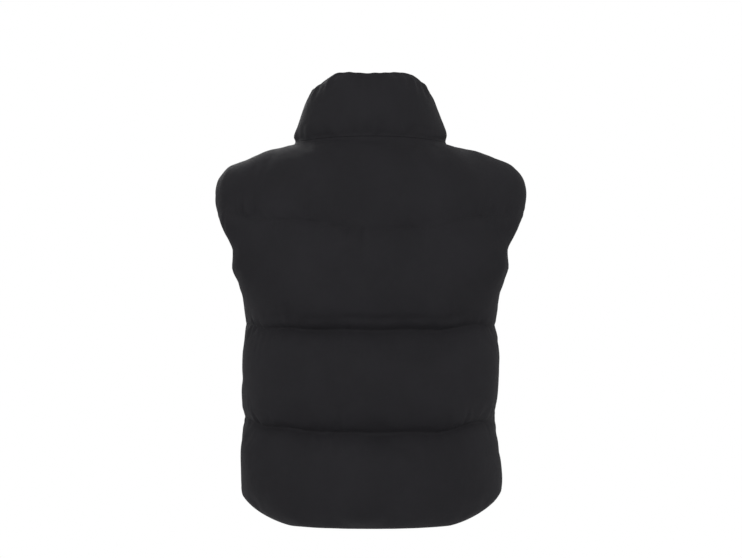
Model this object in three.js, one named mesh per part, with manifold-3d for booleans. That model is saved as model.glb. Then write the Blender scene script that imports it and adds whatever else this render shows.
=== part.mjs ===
// A quilted puffer vest, filled out as if worn by nobody: a back, two fronts, a tall stand collar and a zip.
// Millimetres. +Z is up, +X is the wearer's left, and the zip faces -Y.
// The origin is midway between the two high shoulder points, where the shoulder seams meet the collar.
import * as THREE from "three";
import Module from "manifold-3d";

// Driving sizes
const SEAM_GAP = 0.3; // between two pieces that are sewn together
const COLLAR_GAP = 0.42; // the collar stands this far above the neck seam
const SEAM_WALL = 7; // thickness of the wall where it is stitched through
const NECK_WALL = 15; // thickness along the neck seam, where the padded collar and body press together
const NECK_TAPER = 50; // over this far the neck seam's extra thickness fades out
const FREE_EDGE_WALL = 5; // thickness at the hem, the armholes and the collar's top
const BODY_LOFT = 26; // how far the filling lifts the shell above a stitched wall
const YOKE_LOFT = 23;
const COLLAR_LOFT = 12;
const UPPER_SEAM_LOFT = 19.5; // the loft that the shallow seam across the shoulder blades keeps
const HALF_ZIP = 6.5; // from the centre front to each front edge
const NECK_HALF_WIDTH = 110;
const SHOULDER_TIP = { x: 234, z: -65.5 };
const NECK_SIDE_Z = -11.5;
const NECK_BACK = { y: 84, z: -5 };
const NECK_FRONT = { y: -92, z: -66 };
const ROUNDNESS = 0.86; // 1 makes the body's rings plain ellipses, and less makes them boxier
const NECK_SHARE = 0.54; // of a panel's columns end at the neck, and the rest at the shoulder seam

const QUILT_SEAMS = { hem: 0, lower: 136, middle: 282, upper: 440, top: 572 };

// Inner faces of the back and of a front, a row for each level. up is the way along the cloth from the hem.
// y and z are at the centre, edgeY and edgeZ at the side seam or armhole, and halfWidth is that edge's x.
// wrap is how far round the body a row turns by its edge, in degrees. flat is the share of the width at which its
// height starts to change, and a larger bend keeps the centre's height for more of the way.
const BACK_LEVELS = [
  { up: 0, y: 118, z: -583, halfWidth: 192, edgeY: 0, edgeZ: -560, wrap: 90, flat: 0.6, bend: 1.4 },
  { up: 136, y: 115, z: -434, halfWidth: 191, edgeY: 0, edgeZ: -433, wrap: 90, bend: 3 },
  { up: 282, y: 121, z: -286, halfWidth: 190, edgeY: 0, edgeZ: -287, wrap: 90, bend: 3 },
  { up: 314, y: 122, z: -254, halfWidth: 187, edgeY: 0, edgeZ: -254, wrap: 90, bend: 3 },
  { up: 328, y: 122, z: -240, halfWidth: 194, edgeY: 27, edgeZ: -241, wrap: 76, bend: 3 },
  { up: 358, y: 122, z: -211, halfWidth: 200, edgeY: 48, edgeZ: -209, wrap: 62, bend: 3 },
  { up: 400, y: 120, z: -171, halfWidth: 205, edgeY: 60, edgeZ: -166, wrap: 54, bend: 3 },
  { up: 440, y: 115, z: -137, halfWidth: 232, edgeY: 54, edgeZ: -114, wrap: 46, bend: 3 },
  { up: 505, y: 101, z: -69, halfWidth: 238, edgeY: 31, edgeZ: -78, wrap: 38, bend: 3 },
];
const FRONT_LEVELS = [
  { up: 0, y: -118, z: -573, halfWidth: 192, edgeY: 0, edgeZ: -560, wrap: 90, flat: 0.6, bend: 1.4 },
  { up: 136, y: -120, z: -434, halfWidth: 191, edgeY: 0, edgeZ: -433, wrap: 90, bend: 3 },
  { up: 282, y: -127, z: -288, halfWidth: 190, edgeY: 0, edgeZ: -287, wrap: 90, bend: 3 },
  { up: 314, y: -127, z: -256, halfWidth: 187, edgeY: 0, edgeZ: -254, wrap: 90, bend: 3 },
  { up: 328, y: -126, z: -244, halfWidth: 194, edgeY: -29, edgeZ: -241, wrap: 75, bend: 3 },
  { up: 358, y: -125, z: -217, halfWidth: 199, edgeY: -52, edgeZ: -209, wrap: 60, bend: 3 },
  { up: 400, y: -121, z: -181, halfWidth: 204, edgeY: -66, edgeZ: -166, wrap: 52, bend: 3 },
  { up: 440, y: -115, z: -148, halfWidth: 230, edgeY: -60, edgeZ: -114, wrap: 45, bend: 3 },
  { up: 505, y: -104, z: -107, halfWidth: 237, edgeY: -34, edgeZ: -78, wrap: 38, bend: 3 },
];
const UNDERARM = 314; // the level where the armhole starts
const UNDERARM_ROWS = [UNDERARM, UNDERARM + 7]; // rows that round the armhole's foot, inside and outside

// Inner face of the collar, a row for each ring from the neck seam up.
const COLLAR_LEVELS = [
  { up: 0, halfWidth: 110, sideY: 0, sideZ: -11.5, backY: 84, backZ: -5, frontY: -92, frontZ: -66 },
  { up: 48, halfWidth: 92, sideY: -2, sideZ: 38, backY: 80, backZ: 41, frontY: -92.5, frontZ: -14 },
  { up: 100, halfWidth: 80, sideY: -4, sideZ: 89, backY: 78, backZ: 94, frontY: -93, frontZ: 42, lobes: 6.5 },
];

// Zip. Along it, distances run down from its top end. The slider's own axes are x, y into the vest,
// and z up the zip.
const CHAIN = { halfWidth: 2.8, halfThick: 1.3 };
const TAPE = { inner: 3.1, outer: 6.2, halfThick: 0.6 };
const ZIP_ENDS = { fromHem: 2, fromCollarTop: 3 };
const RETAINER = { halfWidth: 5.9, length: 10, halfThick: 2.4, gap: 0.3 };
const SLIDER = {
  fromTop: 14,
  halfLength: 6,
  halfWidth: 5.2,
  plate: 1.4,
  clear: 0.3,
  wedgeFrom: 2.5,
  wedgeTo: 5.2,
};
const FLANGE = { inner: 4.2, outer: 5, depth: 0.7, from: -5, to: 2 };
const BRIDGE = { halfWidth: 1, leg: 1.6, halfLength: 4, opening: 2.6, bar: 1.4 };
const PULL = { halfWidth: 3.6, thick: 1.4, length: 30, eyeHalfWidth: 1.5, eyeLength: 5.2 };

// Where the grids have their lines, denser where the quilting turns in
const QUILT_STEPS = [0, 0.03, 0.09, 0.18, 0.31, 0.47, 0.63, 0.77, 0.87, 0.94, 0.98];
const EDGE_STEPS = [0.14, 0.28, 0.42, 0.56, 0.68, 0.78, 0.86, 0.925, 0.97, 1];
const BACK_NECK_STEPS = [0, 1 / 6, 2 / 6, 3 / 6, 4 / 6, 5 / 6, 1];
const FRONT_NECK_STEPS = [0, 0.04, 0.12, 0.24, 0.4, 0.6, 0.8, 1];
const COLLAR_STEPS = [0, 0.03, 0.09, 0.2, 0.35, 0.5, 0.65, 0.78, 0.88, 0.95, 0.985, 1];
const INNER_EVERY = 3; // the plain inside has every third row

const degrees = THREE.MathUtils.degToRad;
const { lerp, clamp, smoothstep } = THREE.MathUtils;
const powerOf = (value, exponent) => Math.sign(value) * Math.abs(value) ** exponent;
const SHOULDER_SLOPE = Math.atan2(NECK_SIDE_Z - SHOULDER_TIP.z, SHOULDER_TIP.x - NECK_HALF_WIDTH);
const SHOULDER_UP = new THREE.Vector3(Math.sin(SHOULDER_SLOPE), 0, Math.cos(SHOULDER_SLOPE));

// A smooth curve through points at given stations. endSlope is the direction at the last one.
function through(stations, points, at, endSlope) {
  const last = points.length - 1;
  let i = 0;
  while (i < last - 1 && at > stations[i + 1]) i += 1;
  const slope = (k) => {
    if (k === last && endSlope) return endSlope;
    const a = Math.max(k - 1, 0);
    const b = Math.min(k + 1, last);
    return points[b].clone().sub(points[a]).divideScalar(stations[b] - stations[a]);
  };
  const span = stations[i + 1] - stations[i];
  const t = (at - stations[i]) / span;
  const t2 = t * t;
  const t3 = t2 * t;
  return new THREE.Vector3()
    .addScaledVector(points[i], 2 * t3 - 3 * t2 + 1)
    .addScaledVector(slope(i), (t3 - 2 * t2 + t) * span)
    .addScaledVector(points[i + 1], -2 * t3 + 3 * t2)
    .addScaledVector(slope(i + 1), (t3 - t2) * span);
}

// The neck seam and the shoulder seam

// across runs from 0 at the centre to 1 at the side of the neck; centreX is 0 on the back.
function neckPoint(across, centre, centreX) {
  const turn = degrees(90) * across;
  const x = lerp(centreX, NECK_HALF_WIDTH, Math.sin(turn));
  return new THREE.Vector3(x, centre.y * Math.cos(turn), lerp(NECK_SIDE_Z, centre.z, Math.cos(turn) ** 2));
}

// A point of one level of a body panel's inner face.
function levelPoint(level, across, centreX) {
  const turn = degrees(level.wrap) * across;
  const end = degrees(level.wrap);
  const sine = powerOf(Math.sin(turn), ROUNDNESS) / powerOf(Math.sin(end), ROUNDNESS);
  const edgeCosine = powerOf(Math.max(Math.cos(end), 0), ROUNDNESS);
  const cosine = (powerOf(Math.max(Math.cos(turn), 0), ROUNDNESS) - edgeCosine) / (1 - edgeCosine);
  const flat = level.flat ?? 0;
  return new THREE.Vector3(
    lerp(centreX, level.halfWidth, sine),
    lerp(level.edgeY, level.y, cosine),
    lerp(level.z, level.edgeZ, clamp((sine - flat) / (1 - flat), 0, 1) ** level.bend),
  );
}

// Which way the wall's thickness points along the neck seam: halfway between the body's wall and the collar's.
function neckOut(across, centre) {
  const side = Math.sign(centre.y);
  const centreX = side > 0 ? 0 : HALF_ZIP;
  const around = side > 0 ? across : 2 - across;
  const collarRise = collarPoint(around, 40).sub(collarPoint(around, 0));
  if (across >= 1) {
    const collarSide = new THREE.Vector3(collarRise.z, 0, -collarRise.x).normalize();
    return collarSide.add(SHOULDER_UP).normalize();
  }
  const before = neckPoint(Math.max(across - 0.01, 0), centre, centreX);
  const tangent = neckPoint(across + 0.01, centre, centreX).sub(before);
  const from = levelPoint((side > 0 ? BACK_LEVELS : FRONT_LEVELS).at(-1), across * NECK_SHARE, centreX);
  const bodyRise = neckPoint(across, centre, centreX).sub(from);
  const bodyOut = tangent.clone().cross(bodyRise).multiplyScalar(-side).normalize();
  const collarSide = tangent.clone().cross(collarRise).multiplyScalar(-side).normalize();
  const out = bodyOut.lerp(SHOULDER_UP, smoothstep(across, 0.5, 1)).normalize().add(collarSide);
  if (across === 0) out.x = 0;
  return out.normalize();
}

function shoulderPoint(along) {
  const z = lerp(NECK_SIDE_Z, SHOULDER_TIP.z, 0.72 * along + 0.28 * along ** 2);
  return new THREE.Vector3(lerp(NECK_HALF_WIDTH, SHOULDER_TIP.x, along), 0, z);
}

function shoulderOut(along) {
  return SHOULDER_UP.clone().lerp(neckOut(1, NECK_BACK), 1 - smoothstep(along, 0, 0.25)).normalize();
}

// Body panels

// One half of a body panel's inner face: across runs from 0 at the centre to 1 at the side.
function bodyHalf(levels, centre, centreX) {
  const stations = [...levels.map((level) => level.up), QUILT_SEAMS.top];
  const side = Math.sign(centre.y);

  // A panel never crosses the plane of the side and shoulder seams.
  const ownSide = (point) => {
    point.y = side * Math.max(side * point.y, 0);
    return point;
  };
  const topPoint = (across) =>
    across <= NECK_SHARE
      ? neckPoint(across / NECK_SHARE, centre, centreX)
      : shoulderPoint((across - NECK_SHARE) / (1 - NECK_SHARE));
  const topOut = (across) =>
    across <= NECK_SHARE
      ? neckOut(across / NECK_SHARE, centre)
      : shoulderOut((across - NECK_SHARE) / (1 - NECK_SHARE));

  const freePoint = (across, up) => {
    const points = [...levels.map((level) => levelPoint(level, across, centreX)), topPoint(across)];
    const count = points.length;
    const out = topOut(across);
    const slope = points[count - 1].clone().sub(points[count - 2]);
    slope.addScaledVector(out, -slope.dot(out)).divideScalar(stations[count - 1] - stations[count - 2]);
    return through(stations, points, up, slope);
  };
  const point = (across, up) => ownSide(freePoint(across, up));

  // The way out of the wall, which stays in the seam's own plane along the side and shoulder seams.
  const out = (across, up) => {
    if (up >= QUILT_SEAMS.top) return topOut(across);
    const step = 0.004;
    const a = Math.min(across + step, 1);
    const b = Math.max(across - step, 0);
    const low = Math.max(up - 1, 0);
    const high = Math.min(up + 1, QUILT_SEAMS.top);
    const over = freePoint(a, up).sub(freePoint(b, up));
    const rise = freePoint(across, high).sub(freePoint(across, low));
    const normal = over.cross(rise).multiplyScalar(-side).normalize();
    if (across === 0) normal.x = 0;
    if (across === 1 && up <= UNDERARM) normal.y = 0;
    const byTop = smoothstep(up, QUILT_SEAMS.top - 16, QUILT_SEAMS.top);
    return normal.normalize().lerp(topOut(across), byTop).normalize();
  };

  const halfArc = (up) => {
    let length = 0;
    for (let i = 0; i < 8; i += 1) length += point(i / 8, up).distanceTo(point((i + 1) / 8, up));
    return length;
  };
  const outer = (across, up, thick) => ownSide(point(across, up).addScaledVector(out(across, up), thick));
  return { point, outer, halfArc };
}

// How full a quilted channel is, from 0 at its lower seam to 1 at its upper one. The filling sags to
// below the middle.
function channelFill(share) {
  const sagged = share ** 0.8;
  return 1 - Math.abs(2 * sagged - 1) ** 2.6;
}

// How far the shell has risen at a distance from an edge that pulls it in over the first reach.
const edgeFill = (distance, reach) => 1 - (1 - clamp(distance / reach, 0, 1)) ** 1.7;

// What the thick neck seam adds to a wall at a distance from it.
const neckLift = (distance) => (NECK_WALL - SEAM_WALL) * (1 - edgeFill(distance, NECK_TAPER));

function bodyWall(across, up, halfArc, hasZipEdge) {
  const seams = Object.values(QUILT_SEAMS);
  const k = clamp(seams.findIndex((seam) => up < seam) - 1, -1, 3);
  const channel = up >= QUILT_SEAMS.top ? 3 : k;
  const share = (up - seams[channel]) / (seams[channel + 1] - seams[channel]);
  const loft = channel === 3 ? YOKE_LOFT : BODY_LOFT;
  const kept = (channel === 2 && share > 0.5) || (channel === 3 && share < 0.5) ? UPPER_SEAM_LOFT / loft : 0;
  let fill = lerp(kept, 1, channelFill(clamp(share, 0, 1)));
  const fromTop = QUILT_SEAMS.top - up;
  const shoulderShare = smoothstep(across, NECK_SHARE, 0.95);
  if (channel === 3) fill *= lerp(1, smoothstep(fromTop, -10, 40), shoulderShare);
  const toSide = (1 - across) * halfArc;
  let pulled = edgeFill(toSide, lerp(165, 40, smoothstep(up, 300, 380)));
  if (hasZipEdge) pulled *= edgeFill(across * halfArc, 48);
  const armholeShare = smoothstep(up, UNDERARM, UNDERARM + 30) * (1 - smoothstep(toSide, 0, 12));
  const hemShare = 1 - smoothstep(up, 0, 12);
  const edge = lerp(SEAM_WALL, FREE_EDGE_WALL, Math.max(armholeShare, hemShare));
  const lift = neckLift(fromTop) * (1 - shoulderShare) * (hasZipEdge ? edgeFill(across * halfArc, 45) : 1);
  return edge + Math.hypot(loft * fill * pulled, lift);
}

// Solids

// Stitches a row of points to another whose stations are some of the first one's.
function bridge(faces, dense, sparse, sparseAt) {
  for (let i = 0; i + 1 < sparse.length; i += 1) {
    const middle = Math.floor((sparseAt[i] + sparseAt[i + 1]) / 2);
    for (let j = sparseAt[i]; j < sparseAt[i + 1]; j += 1) {
      faces.push([dense[j], dense[j + 1], j < middle ? sparse[i] : sparse[i + 1]]);
      if (j + 1 === middle || (j === sparseAt[i] && middle === j)) {
        faces.push([sparse[i], dense[middle], sparse[i + 1]]);
      }
    }
  }
}

// A closed wall between a plain inner grid and a raised outer one. rows and columns are the grids' lines, and
// inner(column, row) and outer(column, row) give their points.
function wallGeometry(columns, rows, inner, outer) {
  const kept = (j) => j % INNER_EVERY === 0 || j === rows.length - 1 || UNDERARM_ROWS.includes(rows[j]);
  const innerRows = rows.map((_, j) => j).filter(kept);
  const positions = [];
  const add = (point) => positions.push(point.x, point.y, point.z) / 3 - 1;
  const outerAt = rows.map((row) => columns.map((column) => add(outer(column, row))));
  const innerAt = innerRows.map((j) => columns.map((column) => add(inner(column, rows[j]))));
  const faces = [];
  const quads = (grid, flip) => {
    for (let j = 0; j + 1 < grid.length; j += 1) {
      for (let i = 0; i + 1 < columns.length; i += 1) {
        const [a, b, c, d] = [grid[j][i], grid[j][i + 1], grid[j + 1][i + 1], grid[j + 1][i]];
        faces.push(...(flip ? [[a, c, b], [a, d, c]] : [[a, b, c], [a, c, d]]));
      }
    }
  };
  quads(outerAt, false);
  quads(innerAt, true);
  const last = columns.length - 1;
  for (let i = 0; i < last; i += 1) {
    const [bottomIn, bottomOut] = [innerAt[0], outerAt[0]];
    const [topIn, topOut] = [innerAt.at(-1), outerAt.at(-1)];
    faces.push([bottomIn[i], bottomIn[i + 1], bottomOut[i]], [bottomIn[i + 1], bottomOut[i + 1], bottomOut[i]]);
    faces.push([topOut[i], topOut[i + 1], topIn[i + 1]], [topOut[i], topIn[i + 1], topIn[i]]);
  }
  const sides = [];
  bridge(sides, outerAt.map((row) => row[0]), innerAt.map((row) => row[0]), innerRows);
  const far = [];
  bridge(far, outerAt.map((row) => row[last]), innerAt.map((row) => row[last]), innerRows);
  faces.push(...sides, ...far.map(([a, b, c]) => [b, a, c]));
  return closedGeometry(positions, faces);
}

function closedGeometry(positions, faces) {
  const geometry = new THREE.BufferGeometry();
  geometry.setAttribute("position", new THREE.Float32BufferAttribute(positions, 3));
  geometry.setIndex(faces.flat());
  return geometry;
}

const material = (name, color, roughness, metalness) =>
  new THREE.MeshStandardMaterial({ name, color, roughness, metalness });
const CLOTH = material("shell", 0x28282a, 0.72, 0);
const TAPE_CLOTH = material("tape", 0x1b1b1c, 0.85, 0);
const HARD = material("teeth", 0x161617, 0.4, 0);
const METAL = material("slider", 0x2c2c2e, 0.35, 0.9);

function named(name, geometry, material) {
  const mesh = new THREE.Mesh(geometry, material);
  mesh.name = name;
  return mesh;
}

const QUILT_ROWS = Object.values(QUILT_SEAMS)
  .slice(0, -1)
  .flatMap((seam, k) => QUILT_STEPS.map((step) => lerp(seam, Object.values(QUILT_SEAMS)[k + 1], step)));
const BODY_ROWS = [...QUILT_ROWS, ...UNDERARM_ROWS, QUILT_SEAMS.top].sort((a, b) => a - b);

const sideColumns = EDGE_STEPS.map((step) => lerp(NECK_SHARE, 1, step));
const BACK_HALF = [...BACK_NECK_STEPS.map((step) => step * NECK_SHARE), ...sideColumns];
const FRONT_HALF = [...FRONT_NECK_STEPS.map((step) => step * NECK_SHARE), ...sideColumns];

const mirrored = (point, side) => new THREE.Vector3(side * point.x, point.y, point.z);

function backPanel() {
  const half = bodyHalf(BACK_LEVELS, NECK_BACK, 0);
  const columns = [...BACK_HALF.slice(1).map((across) => -across).reverse(), ...BACK_HALF];
  const inner = (across, up) => mirrored(half.point(Math.abs(across), up), Math.sign(across) || 1);
  const outer = (across, up) => {
    const share = Math.abs(across);
    const thick = bodyWall(share, up, half.halfArc(up), false);
    return mirrored(half.outer(share, up, thick), Math.sign(across) || 1);
  };
  const geometry = wallGeometry(columns.reverse(), BODY_ROWS, inner, outer);
  const mesh = named("back_panel", geometry, CLOTH);
  mesh.position.y = SEAM_GAP / 2;
  return mesh;
}

function frontPanel(name, side) {
  const half = bodyHalf(FRONT_LEVELS, NECK_FRONT, HALF_ZIP);
  const inner = (across, up) => mirrored(half.point(across, up), side);
  const outer = (across, up) => {
    const thick = bodyWall(across, up, half.halfArc(up), true);
    return mirrored(half.outer(across, up, thick), side);
  };
  const columns = side > 0 ? FRONT_HALF : [...FRONT_HALF].reverse();
  const mesh = named(name, wallGeometry(columns, BODY_ROWS, inner, outer), CLOTH);
  mesh.position.y = -SEAM_GAP / 2;
  return mesh;
}

// One half of the collar's inner face, from the centre back (0) over the side of the neck (1) to the zip (2).
function collarPoint(around, up) {
  const points = COLLAR_LEVELS.map((level) => {
    const atBack = around <= 1;
    const turn = degrees(90) * (atBack ? around : 2 - around);
    const [y, z] = atBack ? [level.backY, level.backZ] : [level.frontY, level.frontZ];
    return new THREE.Vector3(
      lerp(atBack ? 0 : HALF_ZIP, level.halfWidth, Math.sin(turn)),
      lerp(level.sideY, y, Math.cos(turn)),
      lerp(level.sideZ, z, Math.cos(turn) ** 2) + (level.lobes ?? 0) * (atBack ? Math.sin(2 * turn) ** 2 : 0),
    );
  });
  return through(COLLAR_LEVELS.map((level) => level.up), points, up);
}

function collarOut(around, up) {
  const seamOut = around <= 1 ? neckOut(around, NECK_BACK) : neckOut(2 - around, NECK_FRONT);
  if (up <= 0) return seamOut;
  const step = 0.01;
  const a = Math.min(around + step, 2);
  const b = Math.max(around - step, 0);
  const rise = collarPoint(around, Math.min(up + 1, 100)).sub(collarPoint(around, up - 1));
  const normal = rise.cross(collarPoint(a, up).sub(collarPoint(b, up)));
  if (around === 0 || around === 2) normal.x = 0;
  return normal.normalize().lerp(seamOut, 1 - smoothstep(up, 0, 16)).normalize();
}

function collarWall(around, up) {
  const height = COLLAR_LEVELS.at(-1).up;
  const fromZip = Math.abs(2 - around) * 130;
  const edge = lerp(SEAM_WALL, FREE_EDGE_WALL, smoothstep(up, height - 12, height));
  const puffed = Math.hypot(COLLAR_LOFT * channelFill(up / height), neckLift(up));
  return edge + puffed * edgeFill(fromZip, 45);
}

function collar() {
  const half = [...BACK_NECK_STEPS, ...FRONT_NECK_STEPS.slice(0, -1).map((step) => 2 - step).reverse()];
  const columns = [...half.slice(1).map((around) => -around).reverse(), ...half].reverse();
  const rows = COLLAR_STEPS.map((step) => step * COLLAR_LEVELS.at(-1).up);
  const inner = (around, up) => mirrored(collarPoint(Math.abs(around), up), Math.sign(around) || 1);
  const outer = (around, up) => {
    const share = Math.abs(around);
    const point = collarPoint(share, up).addScaledVector(collarOut(share, up), collarWall(share, up));
    return mirrored(point, Math.sign(around) || 1);
  };
  const mesh = named("collar", wallGeometry(columns, rows, inner, outer), CLOTH);
  mesh.position.z = COLLAR_GAP;
  return mesh;
}

// The zip's centre line, from the hem to the collar's top, halfway through the wall of the front edges.
function zipLine() {
  const front = bodyHalf(FRONT_LEVELS, NECK_FRONT, HALF_ZIP);
  const collarTop = COLLAR_LEVELS.at(-1).up;
  const stations = [];
  const add = (inner, outer, shiftY, shiftZ) => {
    const point = inner.clone().lerp(outer, 0.5).add(new THREE.Vector3(0, shiftY, shiftZ)).setX(0);
    stations.push({ point, out: outer.clone().sub(inner).setX(0).normalize() });
  };
  const bodyFrom = ZIP_ENDS.fromHem;
  const bodyTo = QUILT_SEAMS.top - 3;
  for (let i = 0; i <= 19; i += 1) {
    const up = lerp(bodyFrom, bodyTo, i / 19);
    add(front.point(0, up), front.outer(0, up, SEAM_WALL), -SEAM_GAP / 2, 0);
  }
  for (let i = 0; i <= 5; i += 1) {
    const up = lerp(5, collarTop - ZIP_ENDS.fromCollarTop, i / 5);
    const inner = collarPoint(2, up);
    add(inner, inner.clone().addScaledVector(collarOut(2, up), SEAM_WALL), 0, COLLAR_GAP);
  }
  let length = 0;
  stations.forEach((station, i) => {
    if (i > 0) length += station.point.distanceTo(stations[i - 1].point);
    station.at = length;
  });
  return stations;
}

function lineAt(line, at) {
  const next = line.slice(0, -1).findIndex((station) => station.at > at);
  const i = next < 0 ? line.length - 2 : next - 1;
  const share = (at - line[i].at) / (line[i + 1].at - line[i].at);
  const point = line[i].point.clone().lerp(line[i + 1].point, share);
  return { at, point, out: line[i].out.clone().lerp(line[i + 1].out, share).normalize() };
}

// A strip of rectangular section that follows the line between two distances along it.
function strip(line, from, to, x0, x1, halfThick) {
  const within = line.filter((station) => station.at > from + 1 && station.at < to - 1);
  const stations = [lineAt(line, from), ...within, lineAt(line, to)];
  const positions = [];
  for (const { point, out } of stations) {
    for (const [x, side] of [[x0, 1], [x1, 1], [x1, -1], [x0, -1]]) {
      positions.push(x, point.y + side * halfThick * out.y, point.z + side * halfThick * out.z);
    }
  }
  const faces = [[0, 3, 2], [0, 2, 1]];
  for (let i = 0; i + 1 < stations.length; i += 1) {
    for (let k = 0; k < 4; k += 1) {
      const a = 4 * i + k;
      const b = 4 * i + ((k + 1) % 4);
      faces.push([a, b, b + 4], [a, b + 4, a + 4]);
    }
  }
  const end = 4 * (stations.length - 1);
  faces.push([end, end + 1, end + 2], [end, end + 2, end + 3]);
  return closedGeometry(positions, faces);
}

const wasm = await Module();
wasm.setup();
const { Manifold, CrossSection } = wasm;

function fromManifold(solid) {
  const { vertProperties, triVerts } = solid.getMesh();
  const geometry = new THREE.BufferGeometry();
  geometry.setAttribute("position", new THREE.BufferAttribute(new Float32Array(vertProperties), 3));
  geometry.setIndex(Array.from(triVerts));
  return geometry;
}

const block = ([x0, y0, z0], [x1, y1, z1]) =>
  Manifold.cube([x1 - x0, y1 - y0, z1 - z0]).translate([x0, y0, z0]);

// A flat piece with its outline in x and z, between two y.
const slab = (outline, y0, y1) => outline.extrude(y1 - y0).rotate([90, 0, 0]).translate([0, y1, 0]);

function sliderSolid() {
  const { halfLength: l, halfWidth: w, plate, clear } = SLIDER;
  const shape = [
    [-w + 1, -l], [w - 1, -l], [w, l / 4], [w, l - 2], [w - 1.8, l], [1.8 - w, l], [-w, l - 2], [-w, l / 4],
  ];
  const outline = new CrossSection([shape]).offset(-0.8, "Round", 2, 16).offset(0.8, "Round", 2, 16);
  const near = CHAIN.halfThick + clear;
  const far = near + plate;
  const top = far + BRIDGE.opening + BRIDGE.bar;
  const { halfWidth: b, leg, halfLength: a } = BRIDGE;
  const solids = [
    slab(outline, -far, -near),
    slab(outline, near, far),
    block([-1.6, -near - 0.2, SLIDER.wedgeFrom], [1.6, near + 0.2, SLIDER.wedgeTo]),
    block([-b, -top, -a], [b, -far + 0.2, leg - a]),
    block([-b, -top, a - leg], [b, -far + 0.2, a]),
    block([-b, -top, -a], [b, -top + BRIDGE.bar, a]),
  ];
  for (const side of [-1, 1]) {
    const [x0, x1] = side > 0 ? [FLANGE.inner, FLANGE.outer] : [-FLANGE.outer, -FLANGE.inner];
    solids.push(block([x0, -near - 0.2, FLANGE.from], [x1, FLANGE.depth - near, FLANGE.to]));
    solids.push(block([x0, near - FLANGE.depth, FLANGE.from], [x1, near + 0.2, FLANGE.to]));
  }
  return Manifold.union(solids);
}

// The tab hangs from the middle of its top bar, which turns under the slider's bridge.
function pullSolid() {
  const { halfWidth: w, thick, length, eyeHalfWidth, eyeLength } = PULL;
  const top = thick / 2;
  const waist = w - 0.7;
  const shape = [
    [-w, top], [-w, -eyeLength - 3], [-waist, -12], [-w, top - length],
    [w, top - length], [waist, -12], [w, -eyeLength - 3], [w, top],
  ];
  const outline = new CrossSection([shape]).offset(-0.6, "Round", 2, 16).offset(0.6, "Round", 2, 16);
  const eye = CrossSection.square([2 * eyeHalfWidth, eyeLength]).translate([-eyeHalfWidth, -top - eyeLength]);
  return slab(outline.subtract(eye), -thick / 2, thick / 2);
}

function zip() {
  const line = zipLine();
  const topAt = line.at(-1).at;
  const sliderAt = topAt - SLIDER.fromTop;
  const start = RETAINER.length + RETAINER.gap;
  const group = new THREE.Group();
  group.name = "zip";
  const tapeLeft = strip(line, start, topAt, TAPE.inner, TAPE.outer, TAPE.halfThick);
  const tapeRight = strip(line, start, topAt, -TAPE.outer, -TAPE.inner, TAPE.halfThick);
  group.add(named("zip_tape_left", tapeLeft, TAPE_CLOTH), named("zip_tape_right", tapeRight, TAPE_CLOTH));
  const chainTop = sliderAt + SLIDER.wedgeFrom - 0.3;
  const chain = strip(line, start, chainTop, -CHAIN.halfWidth, CHAIN.halfWidth, CHAIN.halfThick);
  group.add(named("zip_chain", chain, HARD));
  const { halfWidth, halfThick, length } = RETAINER;
  group.add(named("zip_retainer", strip(line, 0, length, -halfWidth, halfWidth, halfThick), HARD));

  const seat = lineAt(line, sliderAt);
  const tilt = Math.atan2(seat.out.z, -seat.out.y);
  const slider = named("zip_slider", fromManifold(sliderSolid()), METAL);
  slider.position.copy(seat.point);
  slider.rotation.x = -tilt;
  group.add(slider);
  const hinge = CHAIN.halfThick + SLIDER.clear + SLIDER.plate + BRIDGE.opening / 2;
  const pull = named("zip_pull_tab", fromManifold(pullSolid()), METAL);
  pull.position.copy(seat.point).addScaledVector(seat.out, hinge);
  group.add(pull);
  return group;
}

const vest = new THREE.Group();
vest.name = "puffer_vest";
vest.add(backPanel(), frontPanel("front_left", 1), frontPanel("front_right", -1), collar(), zip());

export default vest;
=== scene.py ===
"""A quilted puffer vest, filled out as worn and seen from behind, in matte near-black nylon."""

import math

import bmesh
import bpy
import numpy as np
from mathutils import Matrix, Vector


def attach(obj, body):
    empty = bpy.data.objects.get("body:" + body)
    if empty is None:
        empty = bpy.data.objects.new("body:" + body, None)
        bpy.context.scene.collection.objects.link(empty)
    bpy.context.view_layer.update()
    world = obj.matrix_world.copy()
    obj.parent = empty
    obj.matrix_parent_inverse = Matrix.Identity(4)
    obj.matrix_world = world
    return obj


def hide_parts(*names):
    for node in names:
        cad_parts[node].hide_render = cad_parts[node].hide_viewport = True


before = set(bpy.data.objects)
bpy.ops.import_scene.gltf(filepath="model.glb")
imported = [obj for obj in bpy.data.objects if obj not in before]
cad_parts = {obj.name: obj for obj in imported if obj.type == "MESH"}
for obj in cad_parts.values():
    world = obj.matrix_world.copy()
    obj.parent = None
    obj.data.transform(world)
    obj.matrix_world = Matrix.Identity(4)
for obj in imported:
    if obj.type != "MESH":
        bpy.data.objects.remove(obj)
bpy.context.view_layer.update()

# Sizes of the CAD model, in metres
SEAM_GAP = 0.0003
COLLAR_GAP = 0.00042
SEAM_WALL = 0.007
NECK_WALL = 0.015
NECK_TAPER = 0.050
FREE_EDGE_WALL = 0.005
BODY_LOFT = 0.026
YOKE_LOFT = 0.023
COLLAR_LOFT = 0.012
UPPER_SEAM_LOFT = 0.0195
HALF_ZIP = 0.0065
NECK_HALF_WIDTH = 0.110
SHOULDER_TIP = (0.234, -0.0655)
NECK_SIDE_Z = -0.0115
NECK_BACK = (0.084, -0.005)
NECK_FRONT = (-0.092, -0.066)
ROUNDNESS = 0.86
NECK_SHARE = 0.54
SAG = 0.8
CHANNEL_CURVE = 2.6  # how flat-topped a channel is between its seams
PULL_CURVE = 1.7  # how soon a wall fills out beside an edge that holds it
SIDE_PULL = 0.165
ARMHOLE_PULL = 0.040
ZIP_PULL = 0.048
ZIP_LIFT_PULL = 0.045
SEAMS = [0.0, 0.136, 0.282, 0.440, 0.572]
TOP = SEAMS[-1]
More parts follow.
